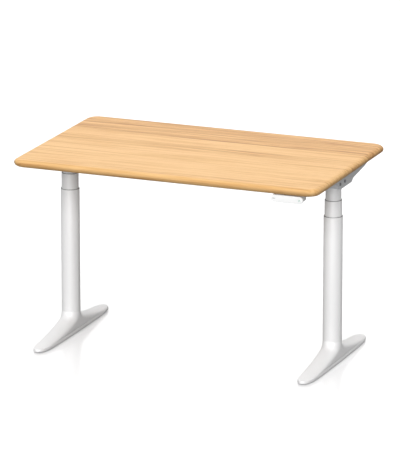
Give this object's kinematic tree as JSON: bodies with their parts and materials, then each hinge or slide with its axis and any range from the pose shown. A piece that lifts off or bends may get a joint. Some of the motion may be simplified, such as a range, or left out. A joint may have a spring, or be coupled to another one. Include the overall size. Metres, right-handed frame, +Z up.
{
  "type": "height adjustable standing desk",
  "caption": "Electric sit-stand desk: rounded oak-look worktop on telescopic columns with blade feet, side brackets, crossbeam, and a tilting hand paddle under the front edge.",
  "frame": {"origin": "on the floor, under the middle of the worktop, at the stored height", "axes": "+X to the right along the worktop's long side, +Y to the back, +Z up"},
  "size_m": [1.22, 0.76, 0.762],
  "materials": {
    "oak_top": "clear satin lacquer over straight fine grain",
    "white_paint": "satin white powder coat on cast aluminium",
    "column_paint": "satin silver-white powder coat on steel tube",
    "bracket_grey": "grey powder coat on cast aluminium",
    "beam_grey": "grey powder coat on steel",
    "glide_grey": "fine moulded grain",
    "spindle_steel": "ground",
    "nut_plastic": "natural nylon",
    "motor_metal": "black coating",
    "gear_housing": "as cast",
    "screw_steel": "zinc plated",
    "black_bolt": "black oxide",
    "pad_rubber": "matte",
    "box_plastic": "fine moulded grain",
    "board_green": "solder mask",
    "handset_white": "fine satin moulding",
    "light_grey": "translucent light guide",
    "lead_grey": "matte jacket"
  },
  "bodies": {
    "base": {"left_foot": "white_paint", "left_outer_tube": "column_paint", "left_outer_glide": "glide_grey", "left_nut_post": "screw_steel", "left_base_nut": "nut_plastic", "right_foot": "white_paint", "right_outer_tube": "column_paint", "right_outer_glide": "glide_grey", "right_nut_post": "screw_steel", "right_base_nut": "nut_plastic", "foot_bolts": "black_bolt"},
    "left_middle": {"left_middle_tube": "column_paint", "left_middle_shoe": "glide_grey", "left_middle_glide": "glide_grey", "left_carrier_tube": "screw_steel", "left_carrier_nut": "nut_plastic"},
    "right_middle": {"right_middle_tube": "column_paint", "right_middle_shoe": "glide_grey", "right_middle_glide": "glide_grey", "right_carrier_tube": "screw_steel", "right_carrier_nut": "nut_plastic"},
    "top": {"tabletop": "oak_top", "left_upper_tube": "column_paint", "left_upper_shoe": "glide_grey", "left_gearbox": "gear_housing", "left_motor": "motor_metal", "left_bracket": "bracket_grey", "right_upper_tube": "column_paint", "right_upper_shoe": "glide_grey", "right_gearbox": "gear_housing", "right_motor": "motor_metal", "right_bracket": "bracket_grey", "bracket_bolts": "black_bolt", "bracket_screws": "screw_steel", "crossbeam": "beam_grey", "crossbeam_bolts": "screw_steel", "control_box_tray": "box_plastic", "control_box_cover": "box_plastic", "control_board": "board_green", "mains_inlet": "box_plastic", "box_screws": "screw_steel", "handset_housing": "handset_white", "handset_board": "board_green", "paddle_pin": "screw_steel", "left_motor_lead": "lead_grey", "right_motor_lead": "lead_grey", "handset_lead": "lead_grey", "lead_clips": "handset_white", "fixing_screws": "screw_steel"},
    "paddle": {"paddle": "handset_white", "status_light": "light_grey"},
    "button": {"paddle_button": "handset_white"},
    "left_hollow_screw": {"left_hollow_spindle": "spindle_steel"},
    "left_drive_screw": {"left_drive_spindle": "spindle_steel"},
    "left_front_foot_pad": {"left_front_leveller": "pad_rubber"},
    "left_rear_foot_pad": {"left_rear_leveller": "pad_rubber"},
    "right_hollow_screw": {"right_hollow_spindle": "spindle_steel"},
    "right_drive_screw": {"right_drive_spindle": "spindle_steel"},
    "right_front_foot_pad": {"right_front_leveller": "pad_rubber"},
    "right_rear_foot_pad": {"right_rear_leveller": "pad_rubber"}
  },
  "joints": [
    {"name": "left_middle_slide", "type": "slide", "parent": "base", "child": "left_middle", "axis": [0, 0, 1], "range_m": [-0.044, 0.271]},
    {"name": "right_middle_slide", "type": "slide", "parent": "base", "child": "right_middle", "axis": [0, 0, 1], "range_m": [-0.044, 0.271]},
    {"name": "top_slide", "type": "slide", "parent": "left_middle", "child": "top", "axis": [0, 0, 1], "range_m": [-0.044, 0.271]},
    {"name": "paddle_tilt", "type": "hinge", "parent": "top", "child": "paddle", "pos_m": [0.4905, -0.351, 0.7183], "axis": [-1, 0, 0], "range_deg": [-5, 5], "stiffness_Nm_per_rad": 1.5},
    {"name": "button_press", "type": "slide", "parent": "paddle", "child": "button", "axis": [0, 1, 0], "range_m": [0, 0.0008], "stiffness_N_per_m": 400, "springref_m": -0.001},
    {"name": "left_hollow_spin", "type": "hinge", "parent": "left_middle", "child": "left_hollow_screw", "pos_m": [-0.534, 0.004, 0.3], "axis": [0, 0, 1], "range_deg": [-1321, 8131]},
    {"name": "left_drive_spin", "type": "hinge", "parent": "top", "child": "left_drive_screw", "pos_m": [-0.534, 0.004, 0.4], "axis": [0, 0, 1], "range_deg": [-1321, 8131]},
    {"name": "left_front_levelling", "type": "slide", "parent": "base", "child": "left_front_foot_pad", "axis": [0, 0, -1], "range_m": [0, 0.006]},
    {"name": "left_rear_levelling", "type": "slide", "parent": "base", "child": "left_rear_foot_pad", "axis": [0, 0, -1], "range_m": [0, 0.006]},
    {"name": "right_hollow_spin", "type": "hinge", "parent": "right_middle", "child": "right_hollow_screw", "pos_m": [0.534, 0.004, 0.3], "axis": [0, 0, 1], "range_deg": [-1321, 8131]},
    {"name": "right_drive_spin", "type": "hinge", "parent": "top", "child": "right_drive_screw", "pos_m": [0.534, 0.004, 0.4], "axis": [0, 0, 1], "range_deg": [-1321, 8131]},
    {"name": "right_front_levelling", "type": "slide", "parent": "base", "child": "right_front_foot_pad", "axis": [0, 0, -1], "range_m": [0, 0.006]},
    {"name": "right_rear_levelling", "type": "slide", "parent": "base", "child": "right_rear_foot_pad", "axis": [0, 0, -1], "range_m": [0, 0.006]}
  ],
  "couplings": [
    {"joint": "right_middle_slide", "follows": "left_middle_slide", "ratio": 1},
    {"joint": "top_slide", "follows": "left_middle_slide", "ratio": 1},
    {"joint": "left_hollow_spin", "follows": "left_middle_slide", "rad_per_m": 523.6},
    {"joint": "left_drive_spin", "follows": "left_middle_slide", "rad_per_m": 523.6},
    {"joint": "right_hollow_spin", "follows": "left_middle_slide", "rad_per_m": 523.6},
    {"joint": "right_drive_spin", "follows": "left_middle_slide", "rad_per_m": 523.6}
  ]
}
